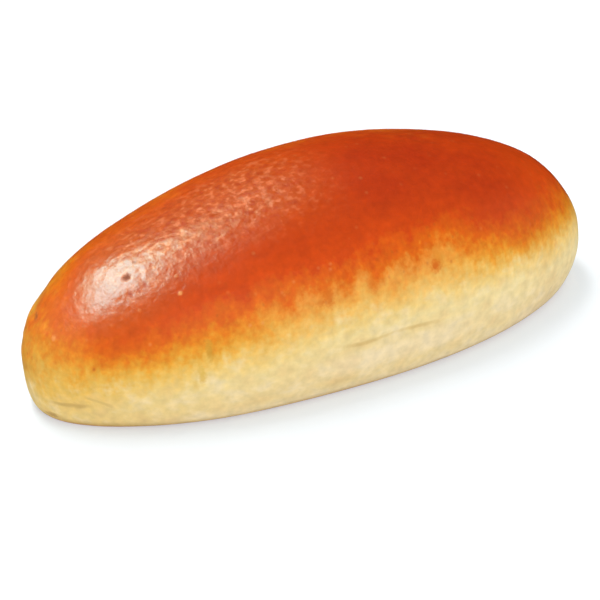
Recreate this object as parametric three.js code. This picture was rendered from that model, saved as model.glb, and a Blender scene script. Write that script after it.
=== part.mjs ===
// A sandwich roll: one long, soft, egg-washed roll, baked free-standing and left uncut.
// Millimetres, +Z up. The roll lies along X on its flat underside, and the origin is the middle
// of the box round it, at the level of the underside. The moulding seam shows on the -Y flank,
// and the folded-in end of the dough makes a low shoulder on the -X end.

import * as THREE from "three";
import { mergeVertices } from "three/addons/utils/BufferGeometryUtils.js";

// Overall size
const LENGTH = 160;
const WIDTH = 72.5;
const HEIGHT = 52;

// The roll is widest at the rim, and from there it turns under to the flat underside
const RIM_HEIGHT = 15;
const SIDE_TUCK = 6.4;
const END_TUCK = 3.8;

// Roundness of the crown: 2 is an ellipse, more is fuller, and less is more pointed
const CROSS_POWER = 2.1;
const LONG_POWER = 1.85;

// The +X end rose a little fatter than the -X end: shares of growth over half the length
const END_WIDENING = 0.03;
const END_RISE = 0.036;

// Slow unevenness of the whole skin: its height, and the lengths over which it rolls
const SWELL_HEIGHT = 0.45;
const SWELL_LONG = 14;
const SWELL_SHORT = 9;

// The crown has a shallow hollow behind its middle, towards the -X end
const HOLLOW = { x: -36, y: 12, reach: 24, depth: 0.5 };

// The border of the underside wanders in and out round the roll, felt only low on the flank
const BORDER_WANDER = 0.35;
const BORDER_WAVES = 5;
const BORDER_TOP = 12;

// Bands round the ends: the plan angle of their middle, their spread to each side in degrees, and
// their level. The -X end wall is pressed flat, with a crease over a low shoulder and the crown set
// back over that, and the +X end bulges a little low down and is flatter above.
const END_BANDS = [
  { angle: 180, spread: 36, level: 17, reach: 15, height: -0.8 },
  { angle: 360, spread: 36, level: 9, reach: 12, height: 1.1 },
  { angle: 360, spread: 36, level: 26, reach: 10, height: -0.7 },
  { angle: 172, spread: 38, level: 30, reach: 9, height: -0.8 },
  { angle: 172, spread: 38, level: 22.5, reach: 3, height: -0.5 },
];

// Creases along the flanks: the side they lie on, their middle, half their length and their slope
const CREASES = [
  { side: -1, x: 8, half: 24, level: 16, slope: -0.02, reach: 2, depth: 0.4 },
  { side: -1, x: -71, half: 9, level: 8, slope: 0.06, reach: 2, depth: 0.45 },
  { side: 1, x: -12, half: 26, level: 14, slope: 0.03, reach: 2, depth: 0.35 },
];

// How finely the skin is divided
const PLAN_STEPS = 148;
const TUCK_STEPS = 7;
const CROWN_STEPS = 28;

// Height over which the skin turns from the level underside to full relief
const SETTLE_HEIGHT = 4;

const HALF_LENGTH = LENGTH / 2;
const HALF_WIDTH = WIDTH / 2;
const QUARTER_TURN = Math.PI / 2;

// A smooth bump that is 1 in its middle and 0 from one reach away.
function bump(distance, reach) {
  const share = Math.max(0, 1 - (distance / reach) ** 2);
  return share * share;
}

// Half of the cut across the middle, as radius and height, from the underside up to the crown.
function crossSection() {
  const points = [new THREE.Vector2(0, 0)];
  for (let i = 0; i <= TUCK_STEPS; i++) {
    const angle = (i / TUCK_STEPS) * QUARTER_TURN;
    const radius = HALF_WIDTH - SIDE_TUCK * (1 - Math.sin(angle));
    points.push(new THREE.Vector2(radius, RIM_HEIGHT * (1 - Math.cos(angle))));
  }
  for (let i = 1; i < CROWN_STEPS; i++) {
    const angle = (i / CROWN_STEPS) * QUARTER_TURN;
    const radius = HALF_WIDTH * Math.cos(angle) ** (2 / CROSS_POWER);
    const rise = (HEIGHT - RIM_HEIGHT) * Math.sin(angle) ** (2 / CROSS_POWER);
    points.push(new THREE.Vector2(radius, RIM_HEIGHT + rise));
  }
  points.push(new THREE.Vector2(0, HEIGHT));
  return points;
}

// Stretches one point of the round bun to the long roll, whose ends slope more than its flanks.
function stretch(point) {
  const radius = Math.hypot(point.x, point.y);
  if (radius === 0) return;
  let reach = HALF_LENGTH - (END_TUCK * (HALF_WIDTH - radius)) / SIDE_TUCK;
  if (point.z > RIM_HEIGHT) {
    reach = HALF_LENGTH * (radius / HALF_WIDTH) ** (CROSS_POWER / LONG_POWER);
  }
  point.x *= reach / radius;
  const along = point.x / HALF_LENGTH;
  point.y *= 1 + END_WIDENING * along;
  point.z *= 1 + END_RISE * along;
}

// Slow swells that keep the skin from being a perfect curve.
function swell(point) {
  const long = Math.sin(point.x / SWELL_LONG + 0.9) * Math.cos(point.y / SWELL_LONG - 0.4);
  const slant = Math.sin((point.x + 1.4 * point.y) / SWELL_SHORT + 2.1);
  const climb = Math.cos((point.x - 1.2 * point.z) / SWELL_SHORT - 0.7);
  return SWELL_HEIGHT * (0.6 * long + 0.25 * slant + 0.15 * climb);
}

// The shallow hollow of the crown.
function hollow(point) {
  const away = Math.hypot(point.x - HOLLOW.x, point.y - HOLLOW.y);
  return -HOLLOW.depth * bump(away, HOLLOW.reach);
}

// The wandering border of the underside.
function border(point) {
  const plan = Math.atan2(point.y / HALF_WIDTH, point.x / HALF_LENGTH);
  const wave = Math.sin(BORDER_WAVES * plan + 0.6) + 0.5 * Math.sin((BORDER_WAVES + 3) * plan);
  return BORDER_WANDER * wave * bump(point.z, BORDER_TOP);
}

// The bands round the ends, each fading out to both its sides.
function ends(point) {
  const plan = THREE.MathUtils.radToDeg(Math.atan2(point.y / HALF_WIDTH, point.x / HALF_LENGTH));
  let height = 0;
  for (const band of END_BANDS) {
    const turn = THREE.MathUtils.euclideanModulo(plan - band.angle + 180, 360) - 180;
    height += band.height * bump(turn, band.spread) * bump(point.z - band.level, band.reach);
  }
  return height;
}

// The creases along the flanks, each fading out towards both its ends.
function creases(point) {
  let depth = 0;
  for (const crease of CREASES) {
    if (Math.sign(point.y) !== crease.side) continue;
    const along = point.x - crease.x;
    const away = point.z - crease.level - crease.slope * along;
    depth += crease.depth * bump(along, crease.half) * bump(away, crease.reach);
  }
  return -depth;
}

// Moves every point of a closed skin outward along its normal by the relief there.
function addRelief(skin) {
  skin.computeVertexNormals();
  const places = skin.getAttribute("position");
  const normals = skin.getAttribute("normal");
  const point = new THREE.Vector3();
  const outward = new THREE.Vector3();
  for (let i = 0; i < places.count; i++) {
    point.fromBufferAttribute(places, i);
    outward.fromBufferAttribute(normals, i);
    outward.z *= THREE.MathUtils.smoothstep(point.z, 0, SETTLE_HEIGHT);
    const broad = swell(point) + hollow(point) + border(point);
    point.addScaledVector(outward, broad + ends(point) + creases(point));
    places.setXYZ(i, point.x, point.y, point.z);
  }
}

// The whole roll: the cut across the middle turned round, stretched, given its relief and centred.
function rollGeometry() {
  const lathe = new THREE.LatheGeometry(crossSection(), PLAN_STEPS);
  lathe.rotateX(QUARTER_TURN);
  lathe.deleteAttribute("uv");
  lathe.deleteAttribute("normal");
  const skin = mergeVertices(lathe);
  const places = skin.getAttribute("position");
  const point = new THREE.Vector3();
  for (let i = 0; i < places.count; i++) {
    point.fromBufferAttribute(places, i);
    stretch(point);
    places.setXYZ(i, point.x, point.y, point.z);
  }
  addRelief(skin);
  skin.computeBoundingBox();
  const centre = skin.boundingBox.getCenter(new THREE.Vector3());
  skin.translate(-centre.x, -centre.y, 0);
  skin.computeVertexNormals();
  return skin;
}

const crust = new THREE.MeshStandardMaterial({ color: 0xd8712a, roughness: 0.4, metalness: 0 });
const roll = new THREE.Mesh(rollGeometry(), crust);
roll.name = "roll";

const group = new THREE.Group();
group.add(roll);

export default group;
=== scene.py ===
"""The looks of a sandwich roll: its baked skin, the finish of its crust, and a plain studio.

Metres and Z up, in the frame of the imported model. The roll lies along X on its flat underside. A
finely modelled skin stands for the plain solid: it has the same sizes and the same broad relief,
it is held to the same box, and it adds the wrinkles, creases, pits and blisters of the crust.
"""

import logging
import math
from dataclasses import dataclass
from dataclasses import field
from enum import Enum

import bpy
import numpy as np
from mathutils import Matrix
from mathutils import Vector
from mathutils import noise


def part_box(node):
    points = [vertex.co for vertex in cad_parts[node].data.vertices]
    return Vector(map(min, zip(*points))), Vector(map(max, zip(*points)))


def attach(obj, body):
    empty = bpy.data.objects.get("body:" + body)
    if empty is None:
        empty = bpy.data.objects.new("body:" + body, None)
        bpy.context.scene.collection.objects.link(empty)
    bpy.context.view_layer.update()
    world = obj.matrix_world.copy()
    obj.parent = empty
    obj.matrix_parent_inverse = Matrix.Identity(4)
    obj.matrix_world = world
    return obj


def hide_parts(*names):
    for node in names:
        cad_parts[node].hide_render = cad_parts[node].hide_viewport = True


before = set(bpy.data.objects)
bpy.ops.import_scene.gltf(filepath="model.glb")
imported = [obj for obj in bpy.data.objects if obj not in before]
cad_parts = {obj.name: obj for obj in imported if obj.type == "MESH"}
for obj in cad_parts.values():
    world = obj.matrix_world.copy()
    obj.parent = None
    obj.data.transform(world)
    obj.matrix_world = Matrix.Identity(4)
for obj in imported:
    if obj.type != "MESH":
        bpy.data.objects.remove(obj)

MM = 0.001

# Angles from straight up at which the crown meets the tuck, and the tuck meets the underside
CROWN_END = 118.0
TUCK_END = 146.0

# Distance along a wavering crease over which its wave turns by one radian
WAVER_LENGTH = 3.5 * MM

# Heights under this count as level with the underside, and normals under this Z as straight down
LEVEL = 1e-6
STRAIGHT_DOWN = -0.9999

# Turns a noise node's value, which keeps near its middle, into one from about -1 to 1
NOISE_GAIN = 4.0

Pair = tuple[float, float]
Place = tuple[float, float, float]
Tone = tuple[int, int, int]

log = logging.getLogger("sandwich_roll")


class Tint(Enum):
    """The tints that a mark gives the crust, as display colours: those of pits, slits and the low
    fold are painted shade, the rest are the crust's own.
    """

    # Painted shade in the hollow of a pit or nick
    PIT_SHADE = (126, 58, 28)
    # Painted shade in a slit
    SLIT_SHADE = (178, 62, 20)
    SCORCH = (214, 106, 12)
    DRIP = (224, 144, 44)
    HONEY = (206, 148, 42)
    GOLD = (220, 176, 72)
    # Painted shade in the undercut of the low fold
    FOLD_SHADE = (176, 130, 62)
    PALE = (243, 164, 92)


def bump(distance: np.ndarray, reach: float) -> np.ndarray:
    """Gives a smooth bump.

    Args:
        distance: distance from the middle of the bump.
        reach: distance at which the bump has faded out.

    Returns:
        1 in the middle, falling to 0 from one reach away.
    """
    share = np.maximum(0.0, 1.0 - (distance / reach) ** 2)
    return share * share


def smooth_step(value: np.ndarray, low: float, high: float) -> np.ndarray:
    """Gives a smooth step.

    Args:
        value: the values to step on.
        low: where the step starts.
        high: where the step ends.

    Returns:
        0 below low, 1 above high, and a smooth rise between them.
    """
    share = np.clip((value - low) / (high - low), 0.0, 1.0)
    return share * share * (3.0 - 2.0 * share)


def skin_noise(points: np.ndarray, grain: tuple[float, float, float], start: float) -> np.ndarray:
    """Reads Perlin noise at every point.

    Args:
        points: places in metres, one row each.
        grain: size of one noise cell along X, Y and Z.
        start: shift through the noise, so that two patterns differ.

    Returns:
        One value for each point, from about -1 to 1.
    """
    cells = points / np.array(grain) + start
    return np.array([noise.noise(Vector(cell)) for cell in cells.tolist()])


@dataclass(frozen=True)
class EndBand:
    """A band round one end of the roll, pressed in or swollen."""

    angle: float
    spread: float
    level: float
    reach: float
    height: float

    def relief(self, points: np.ndarray, plan: np.ndarray) -> np.ndarray:
        """Gives the band's height at every point.

        Args:
            points: places on the smooth form.
            plan: the plan angle of each place, in degrees.

        Returns:
            The height outward, negative where the band is pressed in.
        """
        turn = (plan - self.angle + 180.0) % 360.0 - 180.0
        return self.height * bump(turn, self.spread) * bump(points[:, 2] - self.level, self.reach)


@dataclass(frozen=True)
class Crease:
    """A crease along one flank, which may waver, and fades out towards both its ends.

    The tint is how strongly the finish paints shade into its bottom.
    """

    side: int
    middle: float
    half: float
    level: float
    slope: float
    reach: float
    depth: float
    waver: float = 0.0
    # How strongly painted shade darkens the crease's bottom
    tint: float = 0.0

    def relief(self, points: np.ndarray) -> np.ndarray:
        """Gives the crease's depth at every point.

        Args:
            points: places on the smooth form.

        Returns:
            The height outward, zero or negative.
        """
        along = points[:, 0] - self.middle
        course = self.level + self.slope * along + self.waver * np.sin(along / WAVER_LENGTH)
        there = np.sign(points[:, 1]) == self.side
        depth = self.depth * bump(along, self.half) * bump(points[:, 2] - course, self.reach)
        return np.where(there, -depth, 0.0)


@dataclass(frozen=True)
class Mark:
    """A pit, slit, blister or fleck at one place on the crust, with its tint and its dullness; the
    tints of pits, slits and the low fold are painted shade.
    """

    place: Place
    reach: Place
    height: float
    tint: Tint
    strength: float
    dullness: float = 0.0

    def share(self, points: np.ndarray) -> np.ndarray:
        """Gives how far every point lies within the mark.

        Args:
            points: places on the skin.

        Returns:
            1 in the middle of the mark, falling to 0 at its border.
        """
        away = (points - np.array(self.place)) / np.array(self.reach)
        return bump(np.linalg.norm(away, axis=1), 1.0)


@dataclass
class RollForm:
    """The form of the roll and its broad relief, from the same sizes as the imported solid's."""

    # Overall size, the rim where it is widest, and how far it tucks under from there
    length: float = 160 * MM
    width: float = 72.5 * MM
    height: float = 52 * MM
    rim_height: float = 15 * MM
    side_tuck: float = 6.4 * MM
    end_tuck: float = 3.8 * MM

    # Roundness of the crown across and along, and the growth towards the +X end
    cross_power: float = 2.1
    long_power: float = 1.85
    end_widening: float = 0.03
    end_rise: float = 0.036

    # Slow swells along, slantwise and upward: their shares, their slopes and where they start
    swell_height: float = 0.45 * MM
    swell_long: float = 14 * MM
    swell_short: float = 9 * MM
    swell_shares: tuple[float, float, float] = (0.6, 0.25, 0.15)
    slant_slope: float = 1.4
    climb_slope: float = -1.2
    long_start: float = 0.9
    cross_start: float = -0.4
    slant_start: float = 2.1
    climb_start: float = -0.7

    # The shallow hollow behind the middle of the crown
    hollow_middle: Pair = (-36 * MM, 12 * MM)
    hollow_reach: float = 24 * MM
    hollow_depth: float = 0.5 * MM

    # The wandering border of the underside, in slow waves and weaker quick ones round the roll
    border_wander: float = 0.35 * MM
    border_top: float = 12 * MM
    slow_waves: int = 5
    slow_start: float = 0.6
    quick_waves: int = 8
    quick_share: float = 0.5

    # Bands round the ends, and creases along the flanks
    bands: tuple[EndBand, ...] = (
        EndBand(180, 36, 17 * MM, 15 * MM, -0.8 * MM),
        EndBand(360, 36, 9 * MM, 12 * MM, 1.1 * MM),
        EndBand(360, 36, 26 * MM, 10 * MM, -0.7 * MM),
        EndBand(172, 38, 30 * MM, 9 * MM, -0.8 * MM),
        EndBand(172, 38, 22.5 * MM, 3 * MM, -0.5 * MM),
    )
    creases: tuple[Crease, ...] = (
        Crease(-1, 8 * MM, 24 * MM, 16 * MM, -0.02, 2 * MM, 0.4 * MM),
        Crease(-1, -71 * MM, 9 * MM, 8 * MM, 0.06, 2 * MM, 0.45 * MM),
        Crease(1, -12 * MM, 26 * MM, 14 * MM, 0.03, 2 * MM, 0.35 * MM),
    )

    def section(self, polar: np.ndarray) -> tuple[np.ndarray, np.ndarray]:
        """Gives the cut across the middle of the roll.

        Args:
            polar: angles from straight up, in degrees, up to 180 for straight down.

        Returns:
            The radius and the height at each angle.
        """
        half = self.width / 2
        crown = np.radians(90 * (1 - np.clip(polar / CROWN_END, 0, 1)))
        tuck = np.radians(90 * (1 - np.clip((polar - CROWN_END) / (TUCK_END - CROWN_END), 0, 1)))
        inward = np.clip((180 - polar) / (180 - TUCK_END), 0, 1)
        power = 2 / self.cross_power
        crown_radius = half * np.cos(crown) ** power
        crown_height = self.rim_height + (self.height - self.rim_height) * np.sin(crown) ** power
        tuck_radius = (half - self.side_tuck * (1 - np.sin(tuck))) * inward
        tuck_height = self.rim_height * (1 - np.cos(tuck))
        above = polar <= CROWN_END
        radius = np.where(above, crown_radius, tuck_radius)
        return radius, np.where(above, crown_height, tuck_height)

    def place(self, directions: np.ndarray) -> np.ndarray:
        """Puts directions from the middle of a ball onto the smooth form.

        Args:
            directions: unit vectors, one row each.

        Returns:
            Places on the form, in metres.
        """
        polar = np.degrees(np.arccos(np.clip(directions[:, 2], -1, 1)))
        plan = np.arctan2(directions[:, 1], directions[:, 0])
        radius, height = self.section(polar)
        half_length, half_width = self.length / 2, self.width / 2
        low_reach = half_length - self.end_tuck * (half_width - radius) / self.side_tuck
        high_reach = half_length * (radius / half_width) ** (self.cross_power / self.long_power)
        inner = radius / (half_width - self.side_tuck)
        base_reach = (half_length - self.end_tuck) * inner
        reach = np.where(height > self.rim_height, high_reach, low_reach)
        reach = np.where(polar > TUCK_END, base_reach, reach)
        points = np.stack([reach * np.cos(plan), radius * np.sin(plan), height], axis=1)
        along = points[:, 0] / half_length
        points[:, 1] *= 1 + self.end_widening * along
        points[:, 2] *= 1 + self.end_rise * along
        return points

    def plan_angle(self, points: np.ndarray) -> np.ndarray:
        """Gives the angle of every point round the roll as seen from above, in radians."""
        return np.arctan2(points[:, 1] / (self.width / 2), points[:, 0] / (self.length / 2))

    def relief(self, points: np.ndarray) -> np.ndarray:
        """Gives the broad relief: slow swells, a hollow, the base's border, end bands and creases.

        Args:
            points: places on the smooth form.

        Returns:
            The height outward at each place.
        """
        x, y, z = points.T
        plan = self.plan_angle(points)
        long_swell = np.sin(x / self.swell_long + self.long_start)
        long_swell *= np.cos(y / self.swell_long + self.cross_start)
        slant = np.sin((x + self.slant_slope * y) / self.swell_short + self.slant_start)
        climb = np.cos((x + self.climb_slope * z) / self.swell_short + self.climb_start)
        swells = zip(self.swell_shares, (long_swell, slant, climb))
        relief = self.swell_height * sum(share * swell for share, swell in swells)
        away = np.hypot(x - self.hollow_middle[0], y - self.hollow_middle[1])
        relief -= self.hollow_depth * bump(away, self.hollow_reach)
        wave = np.sin(self.slow_waves * plan + self.slow_start)
        wave += self.quick_share * np.sin(self.quick_waves * plan)
        relief += self.border_wander * wave * bump(z, self.border_top)
        for band in self.bands:
            relief += band.relief(points, np.degrees(plan))
        for crease in self.creases:
            relief += crease.relief(points)
        return relief


def mark(place: Place, reach: Place, height: float, tint: Tint, strength: float,
         dullness: float = 0.0) -> Mark:
    """Makes a mark from sizes in millimetres.

    Args:
        place: its middle.
        reach: how far it goes from there along X, Y and Z.
        height: how far it stands out, negative for a pit.
        tint: its tint.
        strength: how strong the tint is.
        dullness: how much of the shine it takes away.

    Returns:
        The mark, in metres.
    """
    metres = [tuple(value * MM for value in values) for values in (place, reach)]
    return Mark(*metres, height * MM, tint, strength, dullness)


MARKS = (
    # The deep pit in the shine, the small pit beside it, and three slits under it, tinted with
    # painted shade
    mark((-54.9, -11.2, 38.6), (1.5, 1.5, 1.5), -0.4, Tint.PIT_SHADE, 0.8, 0.8),
    mark((-51.6, -8.9, 40.7), (0.8, 0.8, 0.8), -0.16, Tint.PIT_SHADE, 0.6, 0.4),
    mark((-55.7, -15.2, 35.8), (0.7, 1.5, 1.8), -0.18, Tint.SLIT_SHADE, 0.7, 0.6),
    mark((-51.9, -15.4, 37.7), (0.7, 1.5, 1.8), -0.18, Tint.SLIT_SHADE, 0.7, 0.6),
    mark((-53.6, -15.6, 36.6), (0.5, 1.1, 1.3), -0.12, Tint.SLIT_SHADE, 0.6, 0.5),
    # The nick over the shoulder of the -X end, tinted with the painted shadow of the step there, and
    # two pale blisters
    mark((-75.6, 3.4, 25.9), (1.8, 2.8, 1.0), -0.15, Tint.PIT_SHADE, 0.6, 0.4),
    mark((-44.8, -21.5, 36.3), (0.9, 0.9, 0.9), 0.12, Tint.PALE, 0.7),
    mark((-74.7, -8.1, 25.1), (1.1, 1.1, 1.1), 0.2, Tint.PALE, 0.5),
    # The scorched blister at the border of the browning, and drips and spots along that border
    mark((22.5, -31.5, 31.6), (2.6, 4, 4.0), 0.1, Tint.DRIP, 0.7),
    mark((21.3, -32.0, 30.4), (2.1, 4, 2.7), 0.22, Tint.SCORCH, 1.0),
    mark((-41.5, -29.8, 23.1), (1.3, 3, 4.0), -0.06, Tint.HONEY, 0.8),
    mark((-44.0, -30.0, 16.5), (1.4, 3, 3.6), -0.06, Tint.GOLD, 0.8),
    mark((-45.8, -29.4, 13.8), (1.2, 3, 2.4), -0.06, Tint.GOLD, 0.4),
    mark((-9.5, -32.7, 30.6), (2.2, 4, 4.2), -0.07, Tint.SCORCH, 0.8),
    mark((-12.5, -32.9, 28.4), (2.6, 3, 1.1), -0.04, Tint.DRIP, 0.6),
    mark((2.9, -32.7, 31.1), (1.8, 4, 3.4), -0.06, Tint.SCORCH, 0.6),
    mark((62.7, -22.1, 20.1), (1.0, 3, 1.8), -0.05, Tint.DRIP, 0.35),
    mark((45.4, -27.8, 28.5), (1.2, 3, 2.6), -0.06, Tint.SCORCH, 0.45),
    mark((-12.2, -33.1, 29.8), (1.6, 3, 1.6), -0.04, Tint.SCORCH, 0.6),
    # The fold low on the -X end, tinted with painted shade in its undercut, and a spot over it
    mark((-77.0, -7.1, 2.4), (3.2, 3.4, 1.4), -0.1, Tint.FOLD_SHADE, 0.7),
    mark((-68.6, -17.0, 14.2), (1.6, 2.4, 2.4), -0.05, Tint.HONEY, 0.5),
)


@dataclass
class FineRelief:
    """What the crust has beyond its broad relief.

    It has waves all over, wrinkles on the crown, upright pleats on the flanks, narrow bands at the
    -X end, fine creases and marks. A start is where a pattern begins in the noise.
    """

    # Heights between which the flank turns into the glazed crown
    crown_foot: float = 22 * MM
    crown_full: float = 34 * MM

    # Waves all over, and wrinkles, which are bent about and keep a share of their height low down
    wave_cell: float = 7 * MM
    wave_stretch: float = 2.0
    wave_height: float = 0.12 * MM
    wave_start: float = 3.1
    wrinkle_cell: float = 1.7 * MM
    wrinkle_stretch: float = 1.2
    wrinkle_height: float = 0.042 * MM
    wrinkle_start: float = 17.3
    flank_share: float = 0.3
    warp_cell: float = 4 * MM
    warp_reach: float = 0.8 * MM
    warp_start: float = 9.7

    # Upright pleats of the flanks
    pleat_cell: float = 2.6 * MM
    pleat_stretch: float = 4.0
    pleat_height: float = 0.05 * MM
    pleat_start: float = 41.2

    # Narrow bands at the -X end, fine creases, whose last number is the strength of their painted
    # shade, and the marks
    bands: tuple[EndBand, ...] = (
        EndBand(169, 15, 25.4 * MM, 1.9 * MM, -0.45 * MM),
        EndBand(168, 22, 22.6 * MM, 2.2 * MM, 0.25 * MM),
        EndBand(172, 30, 18.6 * MM, 3.4 * MM, -0.3 * MM),
        EndBand(168, 34, 27.0 * MM, 3.6 * MM, -0.4 * MM),
    )
    creases: tuple[Crease, ...] = (
        Crease(-1, 7 * MM, 18 * MM, 16.2 * MM, -0.03, 0.9 * MM, 0.17 * MM, 0.25 * MM, 0.38),
        Crease(-1, -73.6 * MM, 5 * MM, 7.5 * MM, 0.1, 1.0 * MM, 0.3 * MM, 0.0, 0.75),
        Crease(-1, -68.0 * MM, 3.6 * MM, 9.9 * MM, -0.45, 0.9 * MM, 0.15 * MM, 0.0, 0.45),
        Crease(1, -14 * MM, 20 * MM, 14.2 * MM, 0.03, 0.9 * MM, 0.2 * MM, 0.25 * MM, 0.38),
    )
    marks: tuple[Mark, ...] = MARKS

    def crown(self, points: np.ndarray) -> np.ndarray:
        """Gives how far every point belongs to the glazed crown: 0 low down, 1 high up."""
        return smooth_step(points[:, 2], self.crown_foot, self.crown_full)

    def relief(self, points: np.ndarray, plan: np.ndarray) -> np.ndarray:
        """Gives the fine relief.

        Args:
            points: places on the skin.
            plan: the plan angle of each place, in radians.

        Returns:
            The height outward at each place.
        """
        crown = self.crown(points)
        wave = self.wave_cell
        waves = skin_noise(points, (self.wave_stretch * wave, wave, wave), self.wave_start)
        shift = skin_noise(points, (self.warp_cell,) * 3, self.warp_start)
        bent = points + self.warp_reach * shift[:, None]
        cell = self.wrinkle_cell
        along = cell * self.wrinkle_stretch
        wrinkles = skin_noise(bent, (along, cell, cell), self.wrinkle_start)
        pleat = self.pleat_cell
        upright = (pleat, pleat, self.pleat_stretch * pleat)
        pleats = skin_noise(points, upright, self.pleat_start)
        relief = self.wave_height * waves
        relief += self.wrinkle_height * wrinkles * (self.flank_share + (1 - self.flank_share) * crown)
        relief += self.pleat_height * pleats * (1 - crown)
        for band in self.bands:
            relief += band.relief(points, np.degrees(plan))
        for crease in self.creases:
            relief += crease.relief(points)
        for spot in self.marks:
            relief += spot.height * spot.share(points)
        return relief


@dataclass
class Skin:
    """The outside of the roll as one closed mesh.

    The steps divide its block along X, Y and Z, and over the settle height the relief turns from
    sideways only to full.
    """

    name: str = "roll_crust"
    form: RollForm = field(default_factory=RollForm)
    fine: FineRelief = field(default_factory=FineRelief)
    steps: tuple[int, int, int] = (280, 80, 88)
    settle_height: float = 4 * MM

    def build(self, finish: "CrustFinish") -> bpy.types.Object:
        """Models the skin and gives it its finish. Only the underside is shaded flat.

        Args:
            finish: the finish of the crust.

        Returns:
            The finished object, at the origin.
        """
        piece = self.divided_block()
        mesh = piece.data
        points = self.form.place(self.directions(self.read(mesh)))
        self.write(mesh, points)
        points = self.boxed(self.raised(mesh, points, self.form.relief(points)))
        self.write(mesh, points)
        plan = self.form.plan_angle(points)
        points = self.raised(mesh, points, self.fine.relief(points, plan))
        self.write(mesh, self.boxed(points))
        self.join_underside(mesh)
        for polygon in mesh.polygons:
            polygon.use_smooth = polygon.normal.z > STRAIGHT_DOWN
        mesh.materials.append(finish.material(self.fine.marks, self.fine.creases))
        return piece

    def divided_block(self) -> bpy.types.Object:
        """Adds a block of the roll's size and divides its edges, direction by direction.

        Returns:
            The block, whose faces become even quads once they lie on the form.
        """
        sizes = (self.form.length, self.form.width, self.form.height)
        bpy.ops.object.select_all(action="DESELECT")
        bpy.ops.mesh.primitive_cube_add(size=1, location=(0, 0, sizes[2] / 2))
        piece = bpy.context.object
        piece.name = self.name
        bpy.ops.transform.resize(value=sizes)
        bpy.ops.object.transform_apply(location=True, rotation=False, scale=True)
        for axis, steps in enumerate(self.steps):
            self.select_edges(piece.data, axis)
            bpy.ops.object.mode_set(mode="EDIT")
            bpy.ops.mesh.subdivide(number_cuts=steps - 1)
            bpy.ops.object.mode_set(mode="OBJECT")
        return piece

    @staticmethod
    def join_underside(mesh: bpy.types.Mesh) -> None:
        """Joins the flat faces of the underside into one, because nothing there needs them.

        Args:
            mesh: the mesh of the active object, level at Z 0.
        """
        heights = Skin.read(mesh)[:, 2]
        corners = np.empty(len(mesh.loops), dtype=np.int32)
        mesh.loops.foreach_get("vertex_index", corners)
        flat = (heights[corners].reshape(-1, 4) < LEVEL).all(axis=1)
        for part in (mesh.vertices, mesh.edges):
            part.foreach_set("select", np.zeros(len(part), dtype=bool))
        mesh.polygons.foreach_set("select", flat)
        bpy.context.tool_settings.mesh_select_mode = (False, False, True)
        bpy.ops.object.mode_set(mode="EDIT")
        bpy.ops.mesh.dissolve_faces(use_verts=True)
        bpy.ops.object.mode_set(mode="OBJECT")

    @staticmethod
    def select_edges(mesh: bpy.types.Mesh, axis: int) -> None:
        """Selects only the edges that run along one axis.

        Args:
            mesh: a mesh whose edges run along the axes.
            axis: 0, 1 or 2 for X, Y or Z.
        """
        bpy.context.tool_settings.mesh_select_mode = (False, True, False)
        for part in (mesh.vertices, mesh.polygons):
            part.foreach_set("select", np.zeros(len(part), dtype=bool))
        points = Skin.read(mesh)
        ends = np.empty(len(mesh.edges) * 2, dtype=np.int32)
        mesh.edges.foreach_get("vertices", ends)
        runs = np.abs(points[ends[1::2]] - points[ends[::2]])
        chosen = np.argmax(runs, axis=1) == axis
        mesh.edges.foreach_set("select", chosen)
        picked = np.zeros(len(mesh.vertices), dtype=bool)
        picked[ends.reshape(-1, 2)[chosen].ravel()] = True
        mesh.vertices.foreach_set("select", picked)

    @staticmethod
    def read(mesh: bpy.types.Mesh) -> np.ndarray:
        """Reads the places of a mesh's vertices, one row each."""
        flat = np.empty(len(mesh.vertices) * 3, dtype=np.float32)
        mesh.vertices.foreach_get("co", flat)
        return flat.reshape(-1, 3).astype(float)

    @staticmethod
    def write(mesh: bpy.types.Mesh, points: np.ndarray) -> None:
        """Moves a mesh's vertices to new places, one row each."""
        mesh.vertices.foreach_set("co", points.astype(np.float32).ravel())
        mesh.update()

    def directions(self, block: np.ndarray) -> np.ndarray:
        """Turns places on the block into directions that are spread evenly.

        Args:
            block: places on the divided block.

        Returns:
            Unit vectors, one row each.
        """
        sizes = np.array([self.form.length, self.form.width, self.form.height])
        unit = (block - np.array([0, 0, sizes[2] / 2])) / (sizes / 2)
        spread = np.tan(np.clip(unit, -1, 1) * math.pi / 4)
        return spread / np.linalg.norm(spread, axis=1)[:, None]

    def raised(self, mesh: bpy.types.Mesh, points: np.ndarray, relief: np.ndarray) -> np.ndarray:
        """Moves every point outward along its normal, and only sideways at the flat underside.

        Args:
            mesh: the skin, which is moved too.
            points: the places of its vertices.
            relief: how far each one moves.

        Returns:
            The new places.
        """
        flat = np.empty(len(points) * 3, dtype=np.float32)
        mesh.vertex_normals.foreach_get("vector", flat)
        outward = flat.reshape(-1, 3).astype(float)
        outward[:, 2] *= smooth_step(points[:, 2], 0, self.settle_height)
        moved = points + outward * relief[:, None]
        self.write(mesh, moved)
        return moved

    def boxed(self, points: np.ndarray) -> np.ndarray:
        """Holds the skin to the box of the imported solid.

        Args:
            points: the places of the skin's vertices.

        Returns:
            The places, moved and scaled by a hair, with the underside level at Z 0.
        """
        low, high = (np.array(corner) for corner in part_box("roll"))
        least, most = points.min(axis=0), points.max(axis=0)
        return low + (points - least) * (high - low) / (most - least)


Socket = bpy.types.NodeSocket


@dataclass(frozen=True)
class Stretch:
    """A stretch about a middle: how far off it has ended, and how near it is full."""

    middle: float
    end: float
    full: float


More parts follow.
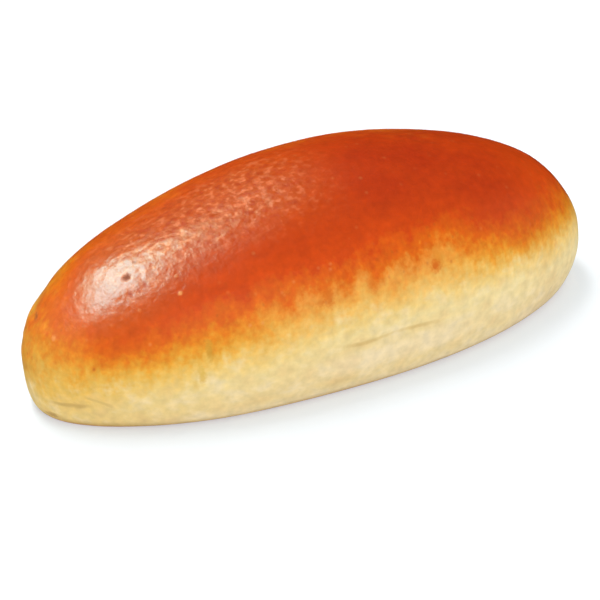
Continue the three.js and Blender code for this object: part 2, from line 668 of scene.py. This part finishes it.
@dataclass(frozen=True)
class Grain:
    """A noise that varies the crust: its cell in metres, its finer layers and its strength.

    A scale under 1 makes it longer that way, and the shift keeps patterns apart.
    """

    cell: float
    detail: float
    strength: float = 1.0
    scale: Place = (1.0, 1.0, 1.0)
    shift: Place = (0.0, 0.0, 0.0)


@dataclass(frozen=True)
class Specks:
    """Round specks strewn over the crust: how far apart, their radius, and which of them show."""

    cell: float
    reach: float
    chance: Pair
    scale: Place = (1.0, 1.0, 1.0)
    shift: Place = (0.0, 0.0, 0.0)


@dataclass(frozen=True)
class Stain:
    """A tone that is laid over the crust, and how strong it is where it is full."""

    tone: Tone
    share: float


class Term:
    """An output of a shader node, on which arithmetic adds Math nodes."""

    def __init__(self, tree: "NodeTree", socket: Socket) -> None:
        """Wraps a socket of the given tree."""
        self.tree = tree
        self.socket = socket

    def math(self, operation: str, *values: "Term | float") -> "Term":
        """Adds a Math node.

        Args:
            operation: what the node does.
            values: its inputs in order.

        Returns:
            Its output.
        """
        node = self.tree.node("ShaderNodeMath", {"operation": operation}, dict(enumerate(values)))
        return Term(self.tree, node.outputs[0])

    def __add__(self, other: "Term | float") -> "Term":
        """Adds two terms."""
        return self.math("ADD", self, other)

    def __radd__(self, other: float) -> "Term":
        """Adds a number in front."""
        return self.math("ADD", other, self)

    def __sub__(self, other: "Term | float") -> "Term":
        """Subtracts a term or number."""
        return self.math("SUBTRACT", self, other)

    def __rsub__(self, other: float) -> "Term":
        """Subtracts from a number."""
        return self.math("SUBTRACT", other, self)

    def __mul__(self, other: "Term | float") -> "Term":
        """Multiplies two terms."""
        return self.math("MULTIPLY", self, other)

    def __rmul__(self, other: float) -> "Term":
        """Multiplies a number in front."""
        return self.math("MULTIPLY", other, self)

    def __truediv__(self, other: "Term | float") -> "Term":
        """Divides by a term or number."""
        return self.math("DIVIDE", self, other)

    def at_least(self, floor: float) -> "Term":
        """Gives the greater of the term and a number."""
        return self.math("MAXIMUM", self, floor)

    def size(self) -> "Term":
        """Gives the term without its sign."""
        return self.math("ABSOLUTE", self)

    def sine(self) -> "Term":
        """Gives the sine of the term."""
        return self.math("SINE", self)

    def step(self, low: "float | Term", high: float) -> "Term":
        """Gives a smooth step.

        Args:
            low: where the step starts.
            high: where the step ends.

        Returns:
            0 at low and 1 at high, also where high is below low.
        """
        settings = {"interpolation_type": "SMOOTHSTEP", "clamp": True}
        inputs = {"Value": self, "From Min": low, "From Max": high}
        node = self.tree.node("ShaderNodeMapRange", settings, inputs)
        return Term(self.tree, node.outputs["Result"])

    def within(self, stretch: Stretch) -> "Term":
        """Gives how far the term lies within a stretch: 0 outside, 1 near its middle."""
        return (self - stretch.middle).size().step(stretch.end, stretch.full)

    def lifted(self, least: float) -> "Term":
        """Lifts a share from 0 to 1, so that it runs from a least value to 1."""
        return least + (1 - least) * self


class NodeTree:
    """The node tree of one material."""

    def __init__(self, material: bpy.types.Material) -> None:
        """Empties the material's tree, to build it anew."""
        material.use_nodes = True
        self.tree = material.node_tree
        self.tree.nodes.clear()

    def node(self, kind: str, settings: dict | None = None,
             inputs: dict | None = None) -> bpy.types.Node:
        """Adds a node.

        Args:
            kind: the node's type.
            settings: its settings, which are set first; "stops" are a ramp's places and colours.
            inputs: values or links of its sockets, by name or number.

        Returns:
            The node.
        """
        node = self.tree.nodes.new(kind)
        for name, value in (settings or {}).items():
            if name == "stops":
                self.set_stops(node.color_ramp, value)
            else:
                setattr(node, name, value)
        for name, value in (inputs or {}).items():
            socket = value.socket if isinstance(value, Term) else value
            if isinstance(socket, Socket):
                self.tree.links.new(socket, node.inputs[name])
            else:
                node.inputs[name].default_value = value
        return node

    @staticmethod
    def set_stops(ramp: bpy.types.ColorRamp, stops: list) -> None:
        """Gives a ramp its stops.

        Args:
            ramp: a new ramp, which has two.
            stops: pairs of place and colour, lowest first.
        """
        while len(ramp.elements) < len(stops):
            ramp.elements.new(1.0)
        for element, (place, colour) in zip(ramp.elements, stops):
            element.position = place
            element.color = colour

    def grain(self, places: Socket, grain: Grain) -> Term:
        """Adds a noise about zero.

        Args:
            places: the coordinates it reads, in metres.
            grain: its sizes.

        Returns:
            Its value, from about -1 to 1, times its strength.
        """
        inputs = {
            "Vector": self.stretched(places, grain.scale, grain.shift),
            "Scale": 1 / grain.cell,
            "Detail": grain.detail,
            "Roughness": 0.5,
        }
        node = self.node("ShaderNodeTexNoise", {"noise_dimensions": "3D"}, inputs)
        return (Term(self, node.outputs["Fac"]) - 0.5) * NOISE_GAIN * grain.strength

    def stretched(self, places: Socket, scale: Place, shift: Place) -> Socket:
        """Stretches and moves coordinates.

        Args:
            places: the coordinates.
            scale: factors for X, Y and Z: a factor under 1 makes a pattern longer.
            shift: how far it moves them.

        Returns:
            The stretched coordinates.
        """
        inputs = {"Vector": places, "Scale": scale, "Location": shift}
        return self.node("ShaderNodeMapping", {}, inputs).outputs["Vector"]

    def away(self, places: Socket, spot: Mark) -> Term:
        """Gives the distance from a mark, as a share of its reach.

        Args:
            places: the object's coordinates.
            spot: the mark.

        Returns:
            0 in its middle and 1 at its border.
        """
        scale = tuple(1 / size for size in spot.reach)
        shift = tuple(-at / size for at, size in zip(spot.place, spot.reach))
        inputs = {"Vector": self.stretched(places, scale, shift)}
        node = self.node("ShaderNodeVectorMath", {"operation": "LENGTH"}, inputs)
        return Term(self, node.outputs["Value"])

    def specks(self, places: Socket, specks: Specks) -> Term:
        """Strews specks, most of which the surface only grazes.

        Args:
            places: the object's coordinates.
            specks: their sizes.

        Returns:
            1 in the middle of the plainest specks, falling to 0 at their borders.
        """
        inputs = {
            "Vector": self.stretched(places, specks.scale, specks.shift),
            "Scale": 1 / specks.cell,
            "Randomness": 1.0,
        }
        node = self.node("ShaderNodeTexVoronoi", {"feature": "F1"}, inputs)
        parts = self.node("ShaderNodeSeparateColor", {}, {"Color": node.outputs["Color"]})
        away = Term(self, node.outputs["Distance"]) * (specks.cell / specks.reach)
        return away.step(1.0, 0.0) * Term(self, parts.outputs[0]).step(*specks.chance)

    def scaled(self, colour: Socket, factor: Term) -> Socket:
        """Makes a colour lighter or darker by a factor that varies."""
        inputs = {"Vector": colour, "Scale": factor}
        return self.node("ShaderNodeVectorMath", {"operation": "SCALE"}, inputs).outputs["Vector"]

    def stained(self, colour: Socket, tone: Tone, share: Term) -> Socket:
        """Lays a tone over a colour.

        Args:
            colour: the colour.
            tone: the tone, as a display colour.
            share: how much of the tone there is at each place.

        Returns:
            The stained colour.
        """
        settings = {"data_type": "RGBA", "blend_type": "MIX", "clamp_factor": True}
        node = self.node("ShaderNodeMix", settings, {0: share, 6: colour, 7: linear(*tone)})
        return node.outputs[2]


def linear(red: float, green: float, blue: float) -> tuple[float, float, float, float]:
    """Turns an sRGB display colour, 0 to 255, into the linear colour that shaders use."""
    shares = (red / 255, green / 255, blue / 255)
    values = [s / 12.92 if s <= 0.04045 else ((s + 0.055) / 1.055) ** 2.4 for s in shares]
    return (*values, 1.0)


@dataclass(frozen=True)
class Ground:
    """What a finish is worked out from: the tree, the object's coordinates, and the place.

    The places x, y and z are in millimetres.
    """

    tree: NodeTree
    places: Socket
    x: Term
    y: Term
    z: Term

    @classmethod
    def of(cls, material: bpy.types.Material) -> "Ground":
        """Starts the ground of a material.

        Args:
            material: a new material.

        Returns:
            Its ground, in an empty tree.
        """
        tree = NodeTree(material)
        places = tree.node("ShaderNodeTexCoord").outputs["Object"]
        split = tree.node("ShaderNodeSeparateXYZ", {}, {"Vector": places})
        return cls(tree, places, *(Term(tree, split.outputs[i]) * (1 / MM) for i in range(3)))

    def grain(self, grain: Grain) -> Term:
        """Adds a noise about zero."""
        return self.tree.grain(self.places, grain)

    def specks(self, specks: Specks) -> Term:
        """Strews specks."""
        return self.tree.specks(self.places, specks)


# The palest tone of the flank
CREAM = (240, 220, 184)


@dataclass(frozen=True)
class CrustFinish:
    """Egg-washed crust: glossy red-brown on the crown, matt cream on the flanks.

    The browning follows the height over a line round the roll, the browning line, and that height
    is called the rise. Places, heights and lengths are in millimetres, but a cell or a speck's
    radius is in metres. A pair says where something starts and where it is full.
    """

    name: str = "milk_roll_crust"

    # The browning line: its level, and how it rises and falls along the roll and across it
    line_level: float = 31.7
    line_middle: float = 12.0
    line_span: float = 70.0
    line_fall: float = 11.0
    left_rise: float = 6.8
    left_climb: Pair = (-58.0, -80.0)
    right_dip: float = 2.4
    right_dip_along: Stretch = Stretch(53.0, 20.0, 0.0)
    back_lift: float = 11.5
    back_start: float = -30.0
    back_start_left: float = -10.0
    back_start_turn: Pair = (-35.0, -62.0)
    back_full: float = 8.0
    back_drop: float = 8.0
    far_flank: Pair = (14.0, 32.0)
    back_right_end: Pair = (80.0, 45.0)
    back_left_end: Pair = (-84.0, -62.0)

    # The border of the browning: wider at the -X end, sharper at the +X end, and ragged all round
    left_spread: float = 0.32
    left_spread_along: Pair = (-60.0, -76.0)
    right_edge: float = 3.0
    right_edge_along: Pair = (30.0, 55.0)
    right_edge_rise: Pair = (-4.0, 3.0)
    wander: Grain = Grain(22 * MM, 1.0, 1.4)
    streaks: tuple[Grain, ...] = (
        Grain(5 * MM, 1.0, 1.6, (1.0, 1.0, 0.5)),
        Grain(2.2 * MM, 2.0, 1.4, (1.0, 1.0, 0.4)),
        Grain(1.3 * MM, 2.0, 1.4),
    )
    streaks_reach: Stretch = Stretch(0.0, 14.0, 3.0)
    streaks_least: float = 0.35

    # The tones of the crust from the flank up to the crown, by their rise
    tones: tuple[tuple[float, Tone], ...] = (
        (-20.0, (233, 208, 152)),
        (-12.0, (237, 214, 152)),
        (-8.0, (240, 204, 122)),
        (-5.0, (238, 186, 84)),
        (-2.0, (234, 158, 42)),
        (1.0, (228, 130, 14)),
        (4.0, (221, 100, 2)),
        (8.0, (208, 70, 0)),
        (13.0, (192, 61, 0)),
        (16.0, (192, 61, 0)),
    )

    # Golden stains under the border, stronger towards the -X end
    golden: Tone = (218, 170, 44)
    golden_along: Pair = (60.0, -20.0)
    golden_share: float = 0.16
    golden_end: Pair = (-30.0, -76.0)
    golden_end_share: float = 0.26
    golden_rise: Pair = (2.0, -6.0)

    # The deeply browned middle of the crown
    deep: Tone = (174, 47, 4)
    deep_along: Stretch = Stretch(28.0, 40.0, 10.0)
    deep_across: Stretch = Stretch(-7.0, 23.0, 9.0)
    deep_share: float = 0.78
    deep_patches: Grain = Grain(9 * MM, 2.0, 0.25, (0.8, 1.0, 1.0), (0.7, 0.2, 0.4))

    # The dried stretch of the crown behind the shine, with sunken dapples and pale dapples of flaked
    # glaze and painted sheen
    dried_along: Stretch = Stretch(-32.0, 42.0, 16.0)
    dried_across: Stretch = Stretch(-4.0, 20.0, 6.0)
    dried_rise: Pair = (4.0, 10.0)
    dried: Stain = Stain((182, 82, 4), 0.5)
    dapples: Grain = Grain(1.8 * MM, 1.0, shift=(0.5, 0.9, 0.2))
    # Pale pink dapples of flaked glaze and painted sheen
    flaked_and_sheen: Stain = Stain((236, 132, 84), 0.48)
    flaked_and_sheen_dapples: Pair = (0.05, 0.8)
    sunken: Stain = Stain((176, 48, 2), 0.65)
    sunken_dapples: Pair = (-0.05, -0.8)

    # Amber glaze towards the -X end, brown pores at the border, and the border's peach middle
    amber: Stain = Stain((232, 122, 8), 0.18)
    amber_along: Pair = (-36.0, -66.0)
    amber_rise: Pair = (1.0, 7.0)
    pore: Stain = Stain((190, 88, 12), 0.6)
    pores: Specks = Specks(2.3 * MM, 0.65 * MM, (0.2, 0.8), (1.0, 1.0, 0.8), (0.3, 0.2, 0.1))
    pores_foot: Pair = (-3.0, 0.0)
    pores_top: Pair = (12.0, 4.0)
    peach: Stain = Stain((238, 178, 112), 0.22)
    peach_along: Stretch = Stretch(2.0, 42.0, 14.0)
    peach_foot: Pair = (-9.0, -5.0)
    peach_top: Pair = (4.0, -1.0)

    # The flank: tan and cream blotches, a cream band, a cream stretch low down, and a browned foot
    # with painted contact shade
    flank_rise: Pair = (-3.0, -9.0)
    blotches: Grain = Grain(4.2 * MM, 3.0, scale=(0.7, 1.0, 1.0))
    tan_blotch: Stain = Stain((222, 180, 118), 0.4)
    cream_blotch: Stain = Stain(CREAM, 0.5)
    cream_band: Stain = Stain(CREAM, 0.35)
    band_level: Stretch = Stretch(11.0, 5.0, 1.0)
    band_along: Stretch = Stretch(8.0, 30.0, 12.0)
    cream_low: Stain = Stain(CREAM, 0.4)
    low_level: Pair = (6.0, 1.5)
    low_along: Pair = (-66.0, -36.0)
    # A browned foot, darkened more by painted contact shade along the base
    browned_and_shaded_foot: Stain = Stain((202, 164, 90), 0.6)
    shaded_foot_level: Pair = (3.0, 0.9)
    shaded_foot_ragged: float = 0.3
    mottles: Grain = Grain(2.2 * MM, 3.0)
    mottling: float = 0.1

    # Painted shade in the creases: its width as a share of their reach, its core and its ragged
    # borders
    crease_width: float = 0.9
    crease_core: float = 0.1
    crease_full: float = 0.45
    crease_side: Pair = (-4.0, 4.0)
    crease_ragged: float = 0.4
    crease_patches: float = 0.25

    # Pale specks, the marks' ragged borders and full middles, and the underside
    speck: Stain = Stain((244, 176, 104), 0.3)
    specks: Specks = Specks(3.4 * MM, 0.8 * MM, (0.5, 1.0))
    specks_least: float = 0.15
    specks_right: float = 0.4
    specks_along: Pair = (20.0, -20.0)
    mark_border: Grain = Grain(0.7 * MM, 1.0, 0.2)
    mark_full: float = 0.15
    underside: Tone = (196, 134, 70)
    underside_level: Pair = (1.4, 0.2)

    # The shine, which the glaze gives
    glazed_rise: Pair = (-8.0, 0.0)
    end_dulling: float = 0.3
    dull_end: Pair = (-67.0, -75.0)
    specular: float = 0.4
    crown_roughness: float = 0.31
    flank_roughness: float = 0.6
    least_roughness: float = 0.28
    grain_roughness: float = 0.02
    mark_roughness: float = 0.6

    # Relief too small for the mesh
    wrinkles: Grain = Grain(1.5 * MM, 1.5, 0.026)
    furrows: Grain = Grain(1.7 * MM, 0.5, 0.005, (0.25, 1.0, 1.0), (0.3, 0.1, 0.7))
    dimples: Grain = Grain(2.8 * MM, 1.0, scale=(0.8, 1.0, 1.0), shift=(0.1, 0.6, 0.4))
    dimple_height: float = 0.06
    glazed_wrinkles: float = 0.9
    dried_wrinkles: float = 0.5
    flank_wrinkles: float = 0.25
    grain: Grain = Grain(0.9 * MM, 3.0)
    grain_height: float = 0.008
    speck_height: float = 0.05

    def material(self, marks: tuple[Mark, ...], creases: tuple[Crease, ...]) -> bpy.types.Material:
        """Builds the material.

        Args:
            marks: the pits, slits, blisters and flecks that it tints.
            creases: the creases into which it paints shade.

        Returns:
            The material, whose patterns follow the object's own coordinates.
        """
        material = bpy.data.materials.new(self.name)
        ground = Ground.of(material)
        tree, x, z = ground.tree, ground.x, ground.z
        rise = self.rise(ground)
        glaze = rise.step(*self.glazed_rise) * (1.0 - self.end_dulling * x.step(*self.dull_end))
        specks = ground.specks(self.specks) * glaze.lifted(self.specks_least)
        specks = specks * x.step(*self.specks_along).lifted(self.specks_right)
        # Painted shade in the creases
        colour = self.painted_crease_shade(ground, self.colour(ground, rise), creases)
        colour = tree.stained(colour, self.speck.tone, specks * self.speck.share)
        colour, dullness = self.marked(ground, colour, marks)
        colour = tree.stained(colour, self.underside, z.step(*self.underside_level))
        grain = ground.grain(self.grain)
        roughness = self.flank_roughness + (self.crown_roughness - self.flank_roughness) * glaze
        roughness = roughness + self.grain_roughness * grain + self.mark_roughness * dullness
        relief = self.relief(ground, glaze) + grain * self.grain_height
        relief = relief + specks * self.speck_height
        bump_inputs = {"Height": relief, "Strength": 1.0, "Distance": MM}
        shader = tree.node("ShaderNodeBsdfPrincipled", {}, {
            "Base Color": colour,
            "Roughness": roughness.at_least(self.least_roughness),
            "Specular IOR Level": self.specular,
            "Normal": tree.node("ShaderNodeBump", {}, bump_inputs).outputs["Normal"],
        })
        tree.node("ShaderNodeOutputMaterial", {}, {"Surface": shader.outputs[0]})
        return material

    def rise(self, ground: Ground) -> Term:
        """Gives the height over the browning line, which wanders and has a streaked border.

        Args:
            ground: the ground of the finish.

        Returns:
            The height in millimetres, negative on the pale flank.
        """
        x, y, z = ground.x, ground.y, ground.z
        aside = (x - self.line_middle) / self.line_span
        line = self.line_level - self.line_fall * (aside * aside)
        line = line + self.left_rise * x.step(*self.left_climb)
        line = line - self.right_dip * x.within(self.right_dip_along)
        turn = (self.back_start_left - self.back_start) * x.step(*self.back_start_turn)
        lift = self.back_lift * y.step(turn + self.back_start, self.back_full)
        lift = lift - self.back_drop * y.step(*self.far_flank)
        line = line + lift * x.step(*self.back_right_end) * x.step(*self.back_left_end)
        rise = (z - line) * (1.0 - self.left_spread * x.step(*self.left_spread_along))
        edge = rise.step(*self.right_edge_rise) - 0.5
        rise = rise + self.right_edge * x.step(*self.right_edge_along) * edge
        broad, narrow, flecks = (ground.grain(streak) for streak in self.streaks)
        border = rise.within(self.streaks_reach).lifted(self.streaks_least)
        return rise + ground.grain(self.wander) + (broad + narrow + flecks) * border

    def colour(self, ground: Ground, rise: Term) -> Socket:
        """Gives the colour of the crust without its creases and marks.

        Args:
            ground: the ground of the finish.
            rise: height over the browning line.

        Returns:
            The colour.
        """
        low, high = self.tones[0][0], self.tones[-1][0]
        stops = [((at - low) / (high - low), linear(*tone)) for at, tone in self.tones]
        inputs = {"Fac": (rise - low) / (high - low)}
        ramp = ground.tree.node("ShaderNodeValToRGB", {"stops": stops}, inputs)
        gilding = ground.x.step(*self.golden_along) * self.golden_share
        gilding = gilding + ground.x.step(*self.golden_end) * self.golden_end_share
        gilding = gilding * rise.step(*self.golden_rise)
        colour = ground.tree.stained(ramp.outputs["Color"], self.golden, gilding)
        return self.paled(ground, self.browned(ground, colour, rise), rise)

    def browned(self, ground: Ground, colour: Socket, rise: Term) -> Socket:
        """Varies the browned crown and its border.

        Args:
            ground: the ground of the finish.
            colour: the colour so far.
            rise: height over the browning line.

        Returns:
            The colour with the deep middle, the dried stretch with its flaked glaze and painted
            sheen, the amber, the pores and the peach.
        """
        x, y = ground.x, ground.y
        deepness = x.within(self.deep_along) * y.within(self.deep_across)
        deepness = deepness * (self.deep_share + ground.grain(self.deep_patches))
        colour = ground.tree.stained(colour, self.deep, deepness)
        dried = self.dryness(ground) * rise.step(*self.dried_rise)
        dapples = ground.grain(self.dapples)
        pores = ground.specks(self.pores) * rise.step(*self.pores_foot)
        peach = x.within(self.peach_along) * rise.step(*self.peach_foot)
        layers = (
            (self.dried, dried),
            # Flaked glaze and painted sheen
            (self.flaked_and_sheen, dried * dapples.step(*self.flaked_and_sheen_dapples)),
            (self.sunken, dried * dapples.step(*self.sunken_dapples)),
            (self.amber, x.step(*self.amber_along) * rise.step(*self.amber_rise)),
            (self.pore, pores * rise.step(*self.pores_top)),
            (self.peach, peach * rise.step(*self.peach_top)),
        )
        return self.layered(ground, colour, layers)

    def paled(self, ground: Ground, colour: Socket, rise: Term) -> Socket:
        """Varies the pale flank, and mottles the whole crust.

        Args:
            ground: the ground of the finish.
            colour: the colour so far.
            rise: height over the browning line.

        Returns:
            The colour with the flank's blotches, its cream stretches, and its browned foot with
            painted contact shade.
        """
        x, z = ground.x, ground.z
        flank = rise.step(*self.flank_rise)
        blotch = ground.grain(self.blotches)
        layers = (
            (self.tan_blotch, blotch.at_least(0.0) * flank),
            (self.cream_blotch, (0.0 - blotch).at_least(0.0) * flank),
            (self.cream_band, z.within(self.band_level) * x.within(self.band_along)),
            (self.cream_low, z.step(*self.low_level) * x.step(*self.low_along)),
            # The browned foot with its painted contact shade
            (self.browned_and_shaded_foot, (z + self.shaded_foot_ragged * blotch).step(*self.shaded_foot_level)),
        )
        mottling = 1.0 + self.mottling * ground.grain(self.mottles)
        return ground.tree.scaled(self.layered(ground, colour, layers), mottling)

    @staticmethod
    def layered(ground: Ground, colour: Socket, layers: tuple[tuple[Stain, Term], ...]) -> Socket:
        """Lays stains over a colour.

        Args:
            ground: the ground of the finish.
            colour: the colour so far.
            layers: the stains in order, and how much of each there is at each place.

        Returns:
            The stained colour.
        """
        for stain, share in layers:
            colour = ground.tree.stained(colour, stain.tone, share * stain.share)
        return colour

    def painted_crease_shade(self, ground: Ground, colour: Socket, creases: tuple[Crease, ...]) -> Socket:
        """Paints shade into the bottoms of the creases.

        Args:
            ground: the ground of the finish.
            colour: the colour so far.
            creases: the creases.

        Returns:
            The colour with painted shade in the creases.
        """
        ragged = ground.grain(self.blotches)
        for crease in creases:
            along = ground.x - crease.middle / MM
            course = crease.level / MM + crease.slope * along
            if crease.waver:
                course = course + crease.waver / MM * (along / (WAVER_LENGTH / MM)).sine()
            away = (ground.z - course + self.crease_ragged * ragged).size()
            line = away.step(self.crease_width * crease.reach / MM, self.crease_core)
            half = crease.half / MM
            line = line * along.size().step(half, self.crease_full * half)
            line = line * (ground.y * crease.side).step(*self.crease_side)
            strength = crease.tint + self.crease_patches * ragged
            # Painted crease shade, in the tone of the foot
            colour = ground.tree.stained(colour, self.browned_and_shaded_foot.tone, line * strength)
        return colour

    def dryness(self, ground: Ground) -> Term:
        """Gives how far each place belongs to the dried stretch of the crown."""
        return ground.x.within(self.dried_along) * ground.y.within(self.dried_across)

    def marked(self, ground: Ground, colour: Socket,
               marks: tuple[Mark, ...]) -> tuple[Socket, Term | float]:
        """Lays the marks on the crust.

        Args:
            ground: the ground of the finish.
            colour: the colour so far.
            marks: the marks.

        Returns:
            The colour with the marks, and how dull they make each place.
        """
        ragged = ground.grain(self.mark_border)
        dullness = 0.0
        for spot in marks:
            share = (ground.tree.away(ground.places, spot) + ragged).step(1.0, self.mark_full)
            colour = ground.tree.stained(colour, spot.tint.value, share * spot.strength)
            if spot.dullness:
                dullness = dullness + share * spot.dullness
        return colour, dullness

    def relief(self, ground: Ground, glaze: Term) -> Term:
        """Gives the wrinkles of the glaze, which are too small for the mesh.

        Args:
            ground: the ground of the finish.
            glaze: how glazed each place is.

        Returns:
            Their height in millimetres.
        """
        dried = self.dryness(ground)
        glazed = ground.grain(self.wrinkles) + ground.grain(self.furrows)
        glazed = glazed * (self.glazed_wrinkles + self.dried_wrinkles * dried)
        glazed = glazed + ground.grain(self.dimples) * dried * self.dimple_height
        return glazed * glaze.lifted(self.flank_wrinkles)


@dataclass(frozen=True)
class SoftBox:
    """A rectangular softbox that faces the roll.

    Some boxes only light it, and some only shine in its glaze.
    """

    name: str
    direction: Place
    distance: float
    long_side: Place
    size: Pair
    radiance: float
    lights: bool = True
    shines: bool = True
    colour: Place = (1.0, 1.0, 1.0)
    aim_height: float = 30 * MM

    def hang(self) -> bpy.types.Object:
        """Hangs the softbox in its place.

        Returns:
            The light.
        """
        back = Vector(self.direction).normalized()
        side = Vector(self.long_side)
        side = (side - back * side.dot(back)).normalized()
        data = bpy.data.lights.new(self.name, "AREA")
        data.shape = "RECTANGLE"
        data.size, data.size_y = self.size
        data.energy = self.radiance * math.pi * self.size[0] * self.size[1]
        light = bpy.data.objects.new(self.name, data)
        bpy.context.scene.collection.objects.link(light)
        matrix = Matrix((side, back.cross(side), back)).transposed().to_4x4()
        matrix.translation = back * self.distance + Vector((0, 0, self.aim_height))
        light.matrix_world = matrix
        data.color = self.colour
        light.visible_diffuse = self.lights
        light.visible_glossy = self.shines
        return light


@dataclass
class Studio:
    """The camera, the floor and the lights. The lens and the sensor are in millimetres."""

    azimuth: float = -24.15
    elevation: float = 30.81
    roll: float = -3.0
    distance: float = 0.680
    aim_height: float = 26 * MM
    aim_shift: Pair = (-2.53 * MM, -13.77 * MM)
    lens: float = 154.9
    sensor: float = 36.0
    floor_size: float = 6.0
    floor_colour: tuple = (0.64, 0.66, 0.68, 1.0)
    floor_roughness: float = 0.9
    floor_glow: float = 0.4
    glow_colour: tuple = (0.79, 0.89, 1.0, 1.0)
    room_light: float = 0.5
    boxes: tuple[SoftBox, ...] = (
        SoftBox("key", (-0.08, 0.36, 0.92), 1.2, (0.38, 0.92, 0.0), (1.0, 0.42), 7.6, shines=False),
        SoftBox("window", (-0.49, 0.18, 0.855), 1.2, (0.42, 0.90, 0.0), (0.88, 0.34), 20.0,
                lights=False, colour=(0.06, 0.72, 1.0)),
        SoftBox("window_rim", (-0.49, 0.18, 0.855), 1.25, (0.42, 0.90, 0.0), (1.12, 0.70), 9.6,
                lights=False, colour=(0.56, 0.84, 0.44)),
        SoftBox("screen", (-0.24, 0.40, 0.88), 1.2, (1.0, 0.2, 0.0), (0.7, 0.42), 4.0,
                lights=False, colour=(0.65, 1.0, 0.42)),
        SoftBox("haze", (-0.1, 0.85, 0.52), 1.5, (1.0, 0.0, 0.0), (1.0, 0.8), 0.3,
                lights=False, colour=(1.0, 1.0, 0.6)),
        SoftBox("fill", (-0.1, -0.9, 0.4), 1.8, (1.0, 0.0, 0.0), (1.6, 1.0), 2.0, shines=False),
        SoftBox("right", (0.92, -0.3, 0.3), 1.8, (0.0, 1.0, 0.0), (1.2, 0.9), 1.4, shines=False),
        SoftBox("left", (-0.92, -0.2, 0.3), 1.8, (0.0, 1.0, 0.0), (1.2, 0.9), 1.15, shines=False),
    )

    def build(self) -> None:
        """Makes the camera, the floor, the lights and the world round them."""
        self.make_camera()
        self.make_floor()
        self.make_lights()
        self.make_world()
        bpy.context.scene.view_settings.view_transform = "Standard"

    def make_camera(self) -> None:
        """Sets the camera where the photograph's was."""
        turn, lift = math.radians(self.azimuth), math.radians(self.elevation)
        tilt = math.radians(self.roll)
        level = math.cos(lift)
        back = Vector((math.sin(turn) * level, -math.cos(turn) * level, math.sin(lift)))
        right = Vector((math.cos(turn), math.sin(turn), 0.0))
        up = back.cross(right)
        aim = Vector((0, 0, self.aim_height)) + right * self.aim_shift[0] + up * self.aim_shift[1]
        side = right * math.cos(tilt) + up * math.sin(tilt)
        head = up * math.cos(tilt) - right * math.sin(tilt)
        data = bpy.data.cameras.new("camera")
        data.lens = self.lens
        data.sensor_width = self.sensor
        camera = bpy.data.objects.new("camera", data)
        bpy.context.scene.collection.objects.link(camera)
        matrix = Matrix((side, head, back)).transposed().to_4x4()
        matrix.translation = aim + back * self.distance
        camera.matrix_world = matrix
        bpy.context.scene.camera = camera

    def make_floor(self) -> None:
        """Lays a plain white floor under the roll."""
        bpy.ops.object.select_all(action="DESELECT")
        bpy.ops.mesh.primitive_plane_add(size=self.floor_size)
        floor = bpy.context.object
        floor.name = "floor"
        material = bpy.data.materials.new("white_floor")
        tree = NodeTree(material)
        inputs = {
            "Base Color": self.floor_colour,
            "Roughness": self.floor_roughness,
            "Specular IOR Level": 0.0,
            "Emission Color": self.glow_colour,
            "Emission Strength": self.floor_glow,
        }
        shader = tree.node("ShaderNodeBsdfPrincipled", {}, inputs)
        tree.node("ShaderNodeOutputMaterial", {}, {"Surface": shader.outputs[0]})
        floor.data.materials.append(material)
        floor.visible_glossy = False

    def make_lights(self) -> None:
        """Hangs the softboxes."""
        for box in self.boxes:
            box.hang()

    def make_world(self) -> None:
        """Fills the room with a pale even light, which glossy surfaces don't mirror."""
        world = bpy.data.worlds.new("room")
        world.use_nodes = True
        background = world.node_tree.nodes["Background"]
        background.inputs["Color"].default_value = (1.0, 1.0, 1.0, 1.0)
        background.inputs["Strength"].default_value = self.room_light
        bpy.context.scene.world = world
        world.cycles_visibility.glossy = False


def main() -> None:
    """Builds the pieces in order and logs how many faces the skin has."""
    logging.basicConfig(level=logging.INFO, format="%(name)s: %(message)s")
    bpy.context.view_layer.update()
    Studio().build()
    log.info("studio: camera, floor and lights are in place")
    skin = Skin()
    piece = skin.build(CrustFinish())
    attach(piece, "root")
    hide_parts("roll")
    log.info("%s: %d faces", piece.name, len(piece.data.polygons))


if __name__ == "__main__":
    main()
